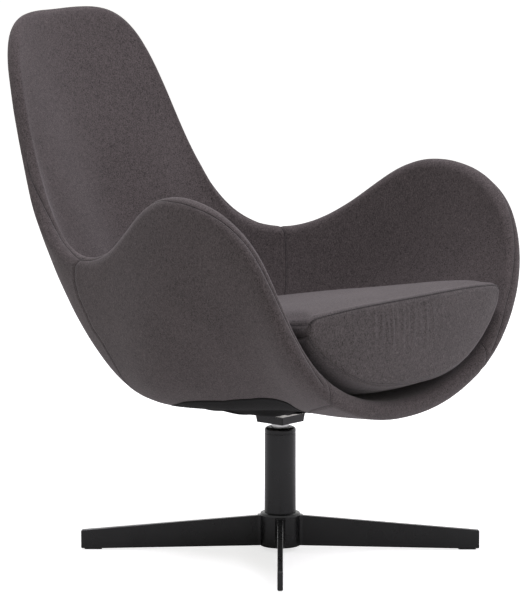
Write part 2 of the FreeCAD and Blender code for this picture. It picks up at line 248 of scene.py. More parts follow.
def finely(path, step=0.0015):
    """Points every step along a polyline, their directions, and how far along each one is."""
    path = np.asarray(path)
    seg = np.linalg.norm(np.diff(path, axis=0), axis=1)
    run = np.concatenate([[0], np.cumsum(seg)])
    at = np.linspace(0, run[-1], max(int(run[-1] / step), 3))
    fine = np.stack([np.interp(at, run, path[:, k]) for k in range(3)], 1)
    return fine, unit(np.gradient(fine, axis=0)), at


def seam_distance(co, normals, paths, apart=7.0, beside=0.0016):
    """Signed distance of every point from the nearest seam, plain distance, and run along it.
    Each seam's run starts apart from the last one's. Up to beside past a seam's end still counts
    as next to it."""
    fine = [finely(p) for p in paths]
    points = np.concatenate([f[0] for f in fine])
    heads = np.concatenate([f[1] for f in fine])
    runs = np.concatenate([f[2] + apart * k for k, f in enumerate(fine)])
    tree = KDTree(len(points))
    for k, p in enumerate(points):
        tree.insert(p, k)
    tree.balance()
    near = np.array([tree.find(p)[1] for p in co])
    gap = co - points[near]
    along = (gap * heads[near]).sum(1)
    inside = np.abs(along) < beside
    side = (np.cross(heads[near], normals) * gap).sum(1)
    plain = np.linalg.norm(gap - heads[near] * np.where(inside, along, 0)[:, None], axis=1)
    return np.where(side < 0, -plain, plain), plain, runs[near] + along


def mark_seams(obj, groups, depth, width, faint_above=9.0):
    """Sink the cloth along its seams, and keep each point's distance from them for the material.
    Above the given height the first group of seams is fainter. seam_side holds the signed
    distances of both groups and the run, and seam_gap the plain distances and the least."""
    co, normals = coords(obj), vertex_normals(obj)
    found = [seam_distance(co, normals, paths) for paths in groups]
    plain = np.array([f[1] for f in found])
    plain[0] += FAINT_GAP * ease((co[:, 2] - faint_above) / FAINT_RUN)
    gap = plain.min(axis=0)
    dip = depth * np.exp(-(gap / width) ** 2)
    puff = 0.4 * depth * np.exp(-((gap - 3.2 * width) / (1.6 * width)) ** 2)
    set_coords(obj, co - normals * (dip - puff)[:, None])
    run = np.where(plain[0] <= plain[-1], found[0][2], found[-1][2])
    for name, values in (("seam_side", [found[0][0], found[-1][0], run]),
                         ("seam_gap", [plain[0], plain[-1], gap])):
        layer = obj.data.attributes.new(name, "FLOAT_VECTOR", "POINT")
        layer.data.foreach_set("vector", np.stack(values, 1).astype(np.float32).ravel())


# ---------- materials ----------

NOISE_LOW, NOISE_HIGH = 0.3, 0.7
# Black of the stitches' thread; it also darkens the seams' folds as painted shade.
THREAD_AND_FOLD_SHADE = (0.008, 0.007, 0.007, 1)
STITCH_ROW, STITCH_STEP, SEAM_NEAR, SEAM_FAR = 0.0034, 0.0042, 0.0045, 0.006


def shade_nodes(name):
    """New material with a single Principled shader."""
    mat = bpy.data.materials.new(name)
    mat.use_nodes = True
    tree = mat.node_tree
    tree.nodes.clear()
    out = tree.nodes.new("ShaderNodeOutputMaterial")
    bsdf = tree.nodes.new("ShaderNodeBsdfPrincipled")
    tree.links.new(bsdf.outputs[0], out.inputs[0])
    return mat, tree, bsdf


def node(tree, kind, **values):
    """New node, with its settings and the plain values of its sockets."""
    n = tree.nodes.new("ShaderNode" + kind)
    for key, value in values.items():
        if hasattr(n, key):
            setattr(n, key, value)
        else:
            n.inputs[key.replace("_", " ")].default_value = value
    return n


def math_node(tree, operation, a, b, clamp=False):
    """Result of a Math node on sockets or numbers."""
    n = tree.nodes.new("ShaderNodeMath")
    n.operation, n.use_clamp = operation, clamp
    for socket, value in zip(n.inputs, (a, b)):
        if isinstance(value, (int, float)):
            socket.default_value = value
        else:
            tree.links.new(value, socket)
    return n.outputs[0]


def remap(tree, value, low, high, to_low=0.0, to_high=1.0):
    """The value spread from low..high to to_low..to_high, and held at those ends."""
    n = tree.nodes.new("ShaderNodeMapRange")
    tree.links.new(value, n.inputs[0])
    for k, v in enumerate((low, high, to_low, to_high), 1):
        n.inputs[k].default_value = v
    return n.outputs[0]


def signed_noise(tree, noise_node):
    """A noise texture's value spread over -1 to 1."""
    return remap(tree, noise_node.outputs[0], NOISE_LOW, NOISE_HIGH, -1, 1)


def sum_of(tree, *values):
    """Sum of several sockets or numbers."""
    total = values[0]
    for value in values[1:]:
        total = math_node(tree, "ADD", total, value)
    return total


def mixed(tree, factor, a, b, mode="MIX"):
    """Result of a colour Mix node on sockets, colours or a number."""
    n = tree.nodes.new("ShaderNodeMix")
    n.data_type, n.blend_type = "RGBA", mode
    for socket, value in zip((n.inputs[0], n.inputs[6], n.inputs[7]), (factor, a, b)):
        if isinstance(value, (tuple, float, int)):
            socket.default_value = value
        else:
            tree.links.new(value, socket)
    return n.outputs[2]


def toned(tree, colour, tone):
    """The colour made lighter or darker by a tone that is 0 where it stays as it is."""
    gain = math_node(tree, "ADD", tone, 1.0)
    grey = node(tree, "CombineColor")
    for socket in grey.inputs[:3]:
        tree.links.new(gain, socket)
    return mixed(tree, 1.0, colour, grey.outputs[0], "MULTIPLY")


def new_group(name, inputs, outputs):
    """New shader node group with its input and output nodes."""
    group = bpy.data.node_groups.new(name, "ShaderNodeTree")
    for socket, kind, value in inputs:
        s = group.interface.new_socket(socket, in_out="INPUT", socket_type="NodeSocket" + kind)
        s.default_value = value
    for socket, kind in outputs:
        group.interface.new_socket(socket, in_out="OUTPUT", socket_type="NodeSocket" + kind)
    return group, group.nodes.new("NodeGroupInput"), group.nodes.new("NodeGroupOutput")


def melange_group():
    """Felted wool look: fibres of several tones, a faint weave and soft large patches."""
    group, source, result = new_group(
        "melange cloth",
        [("Cloth", "Color", (0.09, 0.08, 0.08, 1)), ("Fleck", "Float", 0.5),
         ("Patch", "Float", 0.2), ("Scale", "Float", 1.0)],
        [("Color", "Color"), ("Height", "Float")])
    place = node(group, "TexCoord")
    size = node(group, "VectorMath", operation="SCALE")
    group.links.new(place.outputs["Object"], size.inputs[0])
    group.links.new(source.outputs["Scale"], size.inputs["Scale"])
    where = size.outputs[0]
    fibre = node(group, "TexNoise", Scale=430.0, Detail=3.0, Roughness=0.7, Distortion=0.4)
    clump = node(group, "TexNoise", Scale=150.0, Detail=2.0, Roughness=0.6, Distortion=0.6)
    cloud = node(group, "TexNoise", Scale=9.0, Detail=2.0, Roughness=0.5)
    stretch = node(group, "Mapping")
    stretch.inputs["Scale"].default_value = (1.0, 1.0, 0.28)
    thread = node(group, "TexNoise", Scale=760.0, Detail=1.0, Roughness=0.5)
    for n in (fibre, clump, cloud):
        group.links.new(where, n.inputs["Vector"])
    group.links.new(where, stretch.inputs["Vector"])
    group.links.new(stretch.outputs[0], thread.inputs["Vector"])
    tone = sum_of(group, *(math_node(group, "MULTIPLY", signed_noise(group, n), share)
                           for n, share in ((fibre, 0.8), (clump, 0.22), (thread, 0.35))))
    tone = math_node(group, "MULTIPLY", tone, source.outputs["Fleck"])
    wide = math_node(group, "MULTIPLY", signed_noise(group, cloud), source.outputs["Patch"])
    group.links.new(toned(group, source.outputs["Cloth"], sum_of(group, tone, wide)),
                    result.inputs["Color"])
    height = sum_of(group, *(math_node(group, "MULTIPLY", n.outputs[0], 0.6)
                             for n in (fibre, thread)))
    group.links.new(height, result.inputs["Height"])
    return group


def seam_group():
    """Sewn line: a fold darkened with painted shade, small stitches on either side and the height
    of both.
    """
    # The last input sets how strongly painted shade darkens the seam's fold.
    group, source, result = new_group(
        "sewn seam", [("Color", "Color", (0.1, 0.1, 0.1, 1)), ("Fold", "Float", 0.0008),
                      ("Depth", "Float", 0.62)],
        [("Color", "Color"), ("Height", "Float")])
    side, gap = (node(group, "SeparateXYZ") for _ in range(2))
    for n, name in ((side, "seam_side"), (gap, "seam_gap")):
        kept = node(group, "Attribute", attribute_name=name)
        group.links.new(kept.outputs["Vector"], n.inputs[0])
    folds, rows = [], []
    for k in range(2):
        away = math_node(group, "ABSOLUTE", side.outputs[k], 0.0)
        close = remap(group, gap.outputs[k], SEAM_NEAR, SEAM_FAR, 1, 0)
        share = math_node(group, "DIVIDE", away, source.outputs["Fold"])
        folds.append(math_node(group, "MULTIPLY", remap(group, share, 0.45, 1.6, 1, 0), close))
        off = math_node(group, "SUBTRACT", away, STITCH_ROW)
        row = remap(group, math_node(group, "ABSOLUTE", off, 0.0), 0.0003, 0.0007, 1, 0)
        rows.append(math_node(group, "MULTIPLY", row, close))
    fold = math_node(group, "MAXIMUM", *folds)
    step = math_node(group, "FRACT", math_node(group, "DIVIDE", side.outputs[2], STITCH_STEP), 0.0)
    off = math_node(group, "SUBTRACT", step, 0.5)
    dash = remap(group, math_node(group, "ABSOLUTE", off, 0.0), 0.3, 0.38, 1, 0)
    stitch = math_node(group, "MULTIPLY", math_node(group, "MAXIMUM", *rows), dash)
    # Painted shade darkens the cloth towards black in the seam's fold; the stitches beside it are
    # dark thread.
    shade = math_node(group, "ADD", math_node(group, "MULTIPLY", fold, source.outputs["Depth"]),
                      math_node(group, "MULTIPLY", stitch, 0.3), True)
    group.links.new(mixed(group, shade, source.outputs["Color"], THREAD_AND_FOLD_SHADE),
                    result.inputs["Color"])
    depth = math_node(group, "SUBTRACT", math_node(group, "MULTIPLY", stitch, -0.3), fold)
    group.links.new(depth, result.inputs["Height"])
    return group


def scuff_group():
    """Fine orange peel and rubbed tone for coated and plated metal."""
    group, source, result = new_group(
        "coated metal", [("Color", "Color", (0.02, 0.02, 0.02, 1)), ("Vary", "Float", 0.15),
                         ("Grain", "Float", 900.0), ("Rough", "Float", 0.4)],
        [("Color", "Color"), ("Roughness", "Float"), ("Height", "Float")])
    place = node(group, "TexCoord")
    peel = node(group, "TexNoise", Detail=2.0)
    cloud = node(group, "TexNoise", Scale=14.0, Detail=3.0)
    group.links.new(source.outputs["Grain"], peel.inputs["Scale"])
    for n in (peel, cloud):
        group.links.new(place.outputs["Object"], n.inputs["Vector"])
    tone = math_node(group, "MULTIPLY", signed_noise(group, cloud), source.outputs["Vary"])
    group.links.new(toned(group, source.outputs["Color"], tone), result.inputs["Color"])
    rough = sum_of(group, source.outputs["Rough"], math_node(group, "MULTIPLY", tone, 0.4))
    group.links.new(rough, result.inputs["Roughness"])
    group.links.new(peel.outputs[0], result.inputs["Height"])
    return group


GROUPS = {}


def use_group(tree, name, **values):
    """Place a shared effect in a material with its own values; the group is built once."""
    if name not in GROUPS:
        GROUPS[name] = {"melange": melange_group, "seam": seam_group, "coat": scuff_group}[name]()
    n = tree.nodes.new("ShaderNodeGroup")
    n.node_tree = GROUPS[name]
    for key, value in values.items():
        n.inputs[key].default_value = value
    return n


def bump(tree, height, strength, distance, before=None):
    """Normal bent by a height, on top of another bump's normal if there is one."""
    n = node(tree, "Bump", Strength=strength, Distance=distance)
    tree.links.new(height, n.inputs["Height"])
    if before:
        tree.links.new(before, n.inputs["Normal"])
    return n.outputs[0]


def cloth_material(name, colour, fleck, patch, seams=True, sheen=0.22):
    mat, tree, bsdf = shade_nodes(name)
    wool = use_group(tree, "melange", Cloth=(*colour, 1), Fleck=fleck, Patch=patch)
    colour_out = wool.outputs["Color"]
    normal = bump(tree, wool.outputs["Height"], 0.35, 0.0012)
    if seams:
        sewn = use_group(tree, "seam")
        tree.links.new(colour_out, sewn.inputs["Color"])
        colour_out = sewn.outputs["Color"]
        normal = bump(tree, sewn.outputs["Height"], 0.8, 0.0012, normal)
    tree.links.new(colour_out, bsdf.inputs["Base Color"])
    tree.links.new(normal, bsdf.inputs["Normal"])
    bsdf.inputs["Roughness"].default_value = 0.92
    bsdf.inputs["Specular IOR Level"].default_value = 0.22
    bsdf.inputs["Sheen Weight"].default_value = sheen
    bsdf.inputs["Sheen Roughness"].default_value = 0.45
    bsdf.inputs["Sheen Tint"].default_value = (0.8, 0.76, 0.78, 1)
    return mat


def metal_material(name, colour, metallic, rough, vary, grain, height):
    mat, tree, bsdf = shade_nodes(name)
    coat = use_group(tree, "coat", Color=(*colour, 1), Vary=vary, Grain=grain, Rough=rough)
    tree.links.new(coat.outputs["Color"], bsdf.inputs["Base Color"])
    tree.links.new(coat.outputs["Roughness"], bsdf.inputs["Roughness"])
    tree.links.new(bump(tree, coat.outputs["Height"], 0.25, height), bsdf.inputs["Normal"])
    bsdf.inputs["Metallic"].default_value = metallic
    bsdf.inputs["Specular IOR Level"].default_value = 0.5 if metallic else 0.38
    return mat


def turned_material(name, colour):
    """Ground steel with fine rings round the post."""
    mat, tree, bsdf = shade_nodes(name)
    place = node(tree, "TexCoord")
    flat = node(tree, "Mapping")
    flat.inputs["Scale"].default_value = (4.0, 4.0, 900.0)
    rings = node(tree, "TexNoise", Scale=1.0, Detail=3.0)
    tree.links.new(place.outputs["Object"], flat.inputs["Vector"])
    tree.links.new(flat.outputs[0], rings.inputs["Vector"])
    darker = tuple(c * 0.75 for c in colour)
    ring = remap(tree, rings.outputs[0], NOISE_LOW, NOISE_HIGH)
    tree.links.new(mixed(tree, ring, (*colour, 1), (*darker, 1)), bsdf.inputs["Base Color"])
    rough = remap(tree, rings.outputs[0], NOISE_LOW, NOISE_HIGH, 0.22, 0.36)
    tree.links.new(rough, bsdf.inputs["Roughness"])
    tree.links.new(bump(tree, rings.outputs[0], 0.15, 0.0002), bsdf.inputs["Normal"])
    bsdf.inputs["Metallic"].default_value = 1.0
    return mat


def ply_material():
    mat, tree, bsdf = shade_nodes("birch ply")
    place = node(tree, "TexCoord")
    layers = node(tree, "TexWave", wave_type="BANDS", bands_direction="Z", Scale=120.0,
                  Distortion=1.5)
    grain = node(tree, "TexNoise", Scale=60.0, Detail=4.0)
    for n in (layers, grain):
        tree.links.new(place.outputs["Object"], n.inputs["Vector"])
    tone = mixed(tree, layers.outputs["Fac"], (0.46, 0.31, 0.18, 1), (0.62, 0.46, 0.3, 1))
    streak = remap(tree, grain.outputs[0], NOISE_LOW, NOISE_HIGH, 0, 0.5)
    tree.links.new(mixed(tree, streak, tone, (0.35, 0.23, 0.13, 1)), bsdf.inputs["Base Color"])
    tree.links.new(bump(tree, grain.outputs[0], 0.2, 0.001), bsdf.inputs["Normal"])
    bsdf.inputs["Roughness"].default_value = 0.6
    return mat


def give(material, *names):
    """Put a finish on CAD nodes in place of their plain one."""
    for name in names:
        obj = bpy.data.objects[name]
        obj.data.materials.clear()
        obj.data.materials.append(material)


# ---------- settings ----------

class TubSettings(bpy.types.PropertyGroup):
    wall: bpy.props.FloatProperty(name="Wall", description="Thickness of the padded wall",
                                  default=0.034, unit="LENGTH")
    seam_depth: bpy.props.FloatProperty(name="Seam depth", description="How far the seams sink in",
                                        default=0.0012, unit="LENGTH")
    cloth: bpy.props.FloatVectorProperty(name="Cloth", description="Colour of the tub's cloth",
                                         subtype="COLOR", default=(0.072, 0.0605, 0.0605))


class CushionSettings(bpy.types.PropertyGroup):
    crown: bpy.props.FloatProperty(name="Crown", description="Rise of the top above its seam",
                                   default=0.020, unit="LENGTH")
    bulge: bpy.props.FloatProperty(name="Bulge", description="How far the front panel stands out",
                                   default=0.007, unit="LENGTH")
    gathers: bpy.props.FloatProperty(name="Gathers", description="Depth of the front panel's folds",
                                     default=0.0012, unit="LENGTH")
    cloth: bpy.props.FloatVectorProperty(name="Cloth", description="Colour of the cushion's cloth",
                                         subtype="COLOR", default=(0.076, 0.066, 0.066))


class BaseSettings(bpy.types.PropertyGroup):
    coat: bpy.props.FloatVectorProperty(name="Coat", description="Colour of the black coat",
                                        subtype="COLOR", default=(0.0045, 0.0045, 0.005))
    cap_round: bpy.props.FloatProperty(name="Cap round", description="Radius of the cap's shoulder",
                                       default=0.0055, unit="LENGTH")


class StageSettings(bpy.types.PropertyGroup):
    floor: bpy.props.FloatVectorProperty(name="Floor", description="Colour of the floor",
                                         subtype="COLOR", default=(0.9, 0.9, 0.9))
    sky: bpy.props.FloatProperty(name="Sky", description="Strength of the room's even light",
                                 default=0.37)
    key: bpy.props.FloatProperty(name="Key", description="Power of the main lamp", default=60.0,
                                 unit="POWER")


# ---------- pieces ----------

TUB_STEPS = 300
DOUBLES = 0.00002


def rim_seam_angle(t):
    return np.interp(from_back(t), *zip(*RIM_SEAM))


def tub_seams(half):
    """Lines along which the tub's cover is sewn: the long edge seam, and those across it."""
    ends = RIM_SEAM[-1][0]
    round_rim = np.linspace(-ends, ends, 900) % ROUND

    def over_rim(start, end, angles, count):
        return rim_round(np.linspace(start, end, count), np.linspace(*angles, count), half)

    def down_wall(points, offset):
        at = np.linspace(0, len(points) - 1, 90)
        t, r = (np.interp(at, range(len(points)), values) for values in zip(*points))
        return wall(t, r, offset)

    outer = [over_rim(4.76, 4.66, (-28, -90), 20), down_wall(SIDE_SEAM, -half)]
    inner = [over_rim(4.78, 4.93, (-28, 90), 30), down_wall(LINING_SEAM, half)]
    lip = [over_rim(9.15, 9.3, (60, -90), 40), down_wall(LIP_SEAM, -half)]
    across = [np.concatenate(p) * (side, 1, 1) for side in (1, -1) for p in (outer, inner, lip)]
    edge = rim_round(round_rim, rim_seam_angle(round_rim), half)
    return [edge + AXIS], [p + AXIS for p in across]


def tub_point(t, s, half):
    """Point of the cover. s runs up the outside from 0 to 1, over the rim to 2 and down the
    inside to 3. Below 0 and above 3 it closes the skin towards the middle of the bottom ring."""
    thin = EDGE_THIN * half * (1 - ease((from_back(t) - EDGE_FROM) / EDGE_RUN))
    outer = wall(t, np.clip(s, 0, 1), -half)
    angle = np.clip(s - 1, 0, 1) * 180 - 90
    lean = thin * np.maximum(np.sin(np.radians(angle)), 0)
    rim = rim_round(t, angle, half) - towards_sitter(t, np.ones_like(t)) * lean[:, None]
    drop = np.clip(s - 2, 0, 1)
    stands = half - thin * (1 - ease(drop / EDGE_DROP)) ** EDGE_POWER
    inner = wall(t, 1 - drop, 0) + towards_sitter(t, 1 - drop) * stands[:, None]
    p = np.where((s < 1)[:, None], outer, np.where((s < 2)[:, None], rim, inner))
    centre = np.array([0, RING_Y, 0])
    low, high = np.clip(-s, 0, 1), np.clip(s - 3, 0, 1)
    p = p + (centre - p) * np.maximum(low, high)[:, None] * (1, 1, 0)
    reach = np.hypot(p[:, 0], (p[:, 1] - ARCH_Y) * ARCH_SQUASH) / ARCH_R
    p[:, 2] += ARCH_RISE * np.exp(-reach ** ARCH_POWER)
    p[:, 2] += CLOSED_HIGHER * ease((low - CLOSED_FROM) / CLOSED_RUN)
    return p


def subdivide_near(obj, seams, reach):
    """Halve the faces of a piece that have a corner nearer than reach to a seam."""
    co = coords(obj)
    close = np.minimum(*(seam_distance(co, co, paths)[1] for paths in seams)) < reach
    bpy.ops.object.mode_set(mode="EDIT")
    bpy.ops.mesh.select_all(action="DESELECT")
    bpy.ops.object.mode_set(mode="OBJECT")
    for face in obj.data.polygons:
        face.select = len(face.vertices) < 5 and any(close[v] for v in face.vertices)
    bpy.ops.object.mode_set(mode="EDIT")
    bpy.ops.mesh.select_mode(type="FACE")
    bpy.ops.mesh.subdivide(number_cuts=1, ngon=False, quadcorner="INNERVERT")
    bpy.ops.object.mode_set(mode="OBJECT")


class ARMCHAIR_OT_tub(bpy.types.Operator):
    """Upholstered tub with its sewn cover"""
    bl_idname = "armchair.tub"
    bl_label = "Tub cover"

    def execute(self, context):
        look = context.scene.armchair_tub
        half = look.wall / 2
        t = np.arange(TUB_STEPS + 1) * ROUND / TUB_STEPS
        s = np.concatenate([[-0.95, -0.6, -0.33, -0.3], np.linspace(0, 1, 62)[:-1],
                            np.linspace(1, 2, 15)[:-1], np.linspace(2, 3, 62), [3.4, 3.95]])
        n, m = len(s), len(t)
        place = np.array([(a, b) for b in s for a in t])
        faces = quads(n, m, False)
        faces += [tuple(range(m - 1))[::-1], tuple(range((n - 1) * m, n * m - 1))]
        tub = new_piece("tub_cover", tub_point(*place.T, half) + AXIS, [], faces,
                        cloth_material("melange tub cloth", look.cloth, 0.7, 0.07))
        for values, name in zip(place.T, ("along", "up")):
            tub.data.attributes.new(name, "FLOAT", "POINT").data.foreach_set(
                "value", values.astype(np.float32))
        seams = tub_seams(half)
        only(tub)
        for reach in (0.011, 0.006):
            subdivide_near(tub, seams, reach)
            at = [np.empty(len(tub.data.vertices), np.float32) for _ in range(2)]
            for values, name in zip(at, ("along", "up")):
                tub.data.attributes[name].data.foreach_get("value", values)
            set_coords(tub, tub_point(*(v.astype(float) for v in at), half) + AXIS)
        merge_and_turn_out(DOUBLES)
        bpy.ops.object.shade_smooth()
        co, normals = coords(tub), vertex_normals(tub)
        wave = np.array([noise.noise(Vector(p) * WAVE_WIDE)
                         + 0.5 * noise.noise(Vector(p) * WAVE_FINE) for p in co])
        set_coords(tub, co + normals * (wave * WAVE_DEEP)[:, None])
        mark_seams(tub, seams, look.seam_depth, TUB_SEAM_WIDE, FAINT_FROM)
        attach(tub, "seat")
        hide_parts("tub_shell")
        return {"FINISHED"}


# Cushion sizes in metres, heights above the tub's bottom ring. Seat plane:
SEAT_FRONT_Y, SEAT_FRONT_UP, SEAT_RAKE = -0.302, 0.210, 0.16
# Front panel: half width, middle, bow; its seams' heights in the middle and at the tips; where
# they turn together, and how far; and how far up the front ribs the lower one stands
PANEL_HALF, PANEL_Y, PANEL_BOW, PANEL_LEAN = 0.272, -0.322, 0.028, 0.004
PANEL_TOP, PANEL_FALL, PANEL_LOW, PANEL_END = 0.2185, 0.0135, 0.064, 0.170
TURN_FROM, TURN_DOWN, TURN_UP = 0.93, 0.008, 0.006
PANEL_REACH = 0.8
# Sides: station of the front corner and of the run into it, height at the back and the corner,
# and how far below the seat plane their top seam lies, with the stations over which it drops
CORNER, CORNER_RUN, SIDE_HIGH, TIP_HIGH = 8.6, 6.6, 0.062, 0.017
SIDE_DROP, SIDE_DROP_MORE, DROP_FROM, DROP_RUN = 0.004, 0.010, 3, 4.5
# Gap from the tub, the small flat core in the middle, crown at the front, the share of the top
# that rounds over the seam, and the slack underneath
CUSHION_GAP, CORE_R, CORE_Y = 0.002, 0.070, -0.020
FRONT_CROWN, ROUND_EDGE, SLACK = 0.011, 0.22, 0.006
BAND_ROWS, HALVINGS = 34, 20
# Places across the front panel of its folds, and how deep each is beside the others
FOLDS = [(-0.124, 0.7), (-0.107, 1.0), (-0.093, 0.8), (-0.079, 1.2), (-0.066, 0.7), (-0.050, 1.0),
         (-0.037, 0.6), (-0.021, 0.9), (-0.006, 0.5), (0.014, 0.7), (0.037, 0.5), (-0.146, 0.4),
         (-0.176, 0.35), (0.062, 0.3)]


def seat_plane(y):
    return RING_Z + SEAT_FRONT_UP - (y - SEAT_FRONT_Y) * SEAT_RAKE


def up_wall(t, drop, gap):
    """How far up the rib the lining is drop below the seat plane."""
    low, high = 0.0, 1.0
    for _ in range(HALVINGS):
        mid = (low + high) / 2
        p = wall(t, mid, gap)
        low, high = (mid, high) if p[2] < seat_plane(p[1]) - drop else (low, mid)
    return low


def panel_edges(k):
    """Upper and lower seam of the leaf-shaped front panel, k = 0 in the middle and 1 at its tip."""
    x, y = PANEL_HALF * k, PANEL_Y + PANEL_BOW * k * k
    turn = max((k - TURN_FROM) / (1 - TURN_FROM), 0) ** 2
    top = PANEL_TOP - PANEL_FALL * k ** 3 - TURN_DOWN * turn
    low = PANEL_LOW + (PANEL_END - PANEL_LOW) * k ** 2.8 + TURN_UP * turn
    return np.array([x, y, RING_Z + top]), np.array([x, y + PANEL_LEAN, RING_Z + low])


def cushion_edges(t, gap):
    """Upper and lower edge of the cushion's side at a station, and how far up the rib the lower
    one stands. Towards the corner the side's edges run into the panel's tip."""
    if t > CORNER:
        return panel_edges((STATIONS - t) / (STATIONS - CORNER)) + (PANEL_REACH,)
    high = SIDE_HIGH + (TIP_HIGH - SIDE_HIGH) * (t / CORNER) ** 3
    drop = SIDE_DROP + SIDE_DROP_MORE * float(ease((t - DROP_FROM) / DROP_RUN))
    up, down = up_wall(t, drop, gap), up_wall(t, high + drop, gap)
    top, low = wall(t, up, gap), wall(t, down, gap)
    tip_top, tip_low = panel_edges(1.0)
    end_drop = SIDE_DROP + SIDE_DROP_MORE
    end = up_wall(CORNER, TIP_HIGH + end_drop, gap)
    end_top, end_low = wall(CORNER, up_wall(CORNER, end_drop, gap), gap), wall(CORNER, end, gap)
    w = float(ease((t - CORNER_RUN) / (CORNER - CORNER_RUN)))
    return (top + (tip_top - end_top) * w, low + (tip_low - end_low) * w,
            down + (PANEL_REACH - end) * w)


def band_steps(power=2.2):
    """Fractions up the cushion's side, from 0 to below 1, close together at both ends."""
    f = np.linspace(-1, 1, BAND_ROWS)
    return ((1 + np.sign(f) * (1 - (1 - np.abs(f)) ** power)) / 2)[:-1, None]


def cushion_rows(look, half_wall):
    """Closed rows from the middle of the underside, up the side and over the top to its middle,
    the seams round the top and bottom, those at the panel's tips, and the rows of the side."""
    gap = half_wall + CUSHION_GAP
    half = np.concatenate([np.linspace(0, CORNER - 0.3, 84)[:-1],
                           np.linspace(CORNER - 0.3, CORNER, 12)[:-1],
                           np.linspace(CORNER, CORNER + 0.08, 9)[:-1],
                           np.linspace(CORNER + 0.08, STATIONS, 130)])
    under = 1 - np.linspace(1, 0, 34)[:-1] ** 1.7
    side = band_steps()
    inwards = np.linspace(0, 1, 52)[:, None] ** 1.6
    columns, tops, lows = [], [], []
    for t in half:
        top, low, reach = cushion_edges(t, gap)
        tops.append(top)
        lows.append(low)
        below = wall(t, reach * under, gap)
        below += (low - wall(t, reach, gap)) * (under ** 2)[:, None]
        slack = np.sin(np.pi * np.clip((under - 0.55) / 0.45, 0, 1))
        below[:, 2] -= SLACK * float(ease((t - 7) / 1.6)) * slack
        k = (STATIONS - t) / (STATIONS - CORNER)
        out = unit(np.array([low[0] * 0.5, low[1], 0])) * look.bulge * max(1 - max(k, 0) ** 6, 0)
        band = low + (top - low) * side + out * 4 * side * (1 - side)
        d = hypot(top[0], top[1] - CORE_Y)
        core = np.array([top[0] / d * CORE_R, CORE_Y + (top[1] - CORE_Y) / d * CORE_R, 0])
        over = top + (core - top) * inwards
        front = FRONT_CROWN * float(ease((-0.06 - top[1]) / 0.2))
        crown = (look.crown + front) * (1 - (1 - inwards) ** 2.6) - front * ease(inwards * 1.3)
        level = top[2] - seat_plane(top[1])
        round_edge = level * (1 - np.minimum(inwards / ROUND_EDGE, 1)) ** 2.2
        over[:, 2:] = seat_plane(over[:, 1:2]) + round_edge + crown
        columns.append(np.concatenate([below, band, over]))
    half_grid = np.array(columns)
    grid = np.concatenate([half_grid, half_grid[-2:0:-1] * (-1, 1, 1)])
    edges = [np.concatenate([e, e[-2:0:-1] * (-1, 1, 1), e[:1]])
             for e in (np.array(tops), np.array(lows))]
    tip = np.linspace(*panel_edges(1.0), 12)
    return (grid.transpose(1, 0, 2), edges, [tip, tip * (-1, 1, 1)],
            slice(len(under), len(under) + len(side)))


def gathers(panel):
    """Depth of the front panel's folds at the points of the cushion's side."""
    f = band_steps()
    fold = np.zeros(panel.shape[:2])
    ends = ease(f * 8) * ease((1 - f) * 14)
    for k, (x, deep) in enumerate(FOLDS):
        line = x + 0.010 * (f - 0.7) * (1 if k % 2 else -0.4) + 0.0015 * np.sin(9 * f + k)
        tall = np.exp(-((f - 0.72) / (0.30 - 0.04 * (k % 3))) ** 2) * ends
        wide = 0.0036 + 0.0008 * (k % 3)
        fold += deep * tall * np.exp(-((panel[..., 0] - line) / wide) ** 2)
    front = ease((-0.285 - panel[..., 1]) / 0.012)
    return (fold * 1.3 - 0.4) * front * ends


class ARMCHAIR_OT_cushion(bpy.types.Operator):
    """Loose seat cushion with a gathered, leaf-shaped front panel"""
    bl_idname = "armchair.cushion"
    bl_label = "Seat cushion"

    def execute(self, context):
        look = context.scene.armchair_cushion
        rows, edges, tips, side = cushion_rows(look, context.scene.armchair_tub.wall / 2)
        panel = rows[side]
        panel[..., 1] -= look.gathers * gathers(panel)
        mat = cloth_material("melange cushion cloth", look.cloth, 0.7, 0.06)
        pad = loop_skin("seat_pad", rows, mat)
        seams = [e + AXIS for e in edges], [e + AXIS for e in tips]
        mark_seams(pad, seams, CUSHION_SEAM_DEEP, CUSHION_SEAM_WIDE)
        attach(pad, "cushion")
        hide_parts("seat_cushion")
        return {"FINISHED"}


# Lining in metres: (station, how far up the rib its edge reaches), its gaps from the cloth and
# the board, the hole for the post, its sag and thickness, and the board's outline as it shows
LINING_EDGE = [(0, 0.10), (5.4, 0.11), (5.75, 0.17), (6.1, 0.225), (6.6, 0.27), (7.5, 0.275),
               (8, 0.32), (8.4, 0.39), (8.8, 0.47), (9.1, 0.42), (9.5, 0.28), (10, 0.24)]
LINING_GAP, BOARD_GAP, LINING_HOLE, LINING_SAG = 0.0009, 0.0012, 0.074, 0.0022
LINING_THICK, LINING_STEPS = 0.0008, 360
BOARD_INSET, BOARD_ROUND = 0.026, 0.030


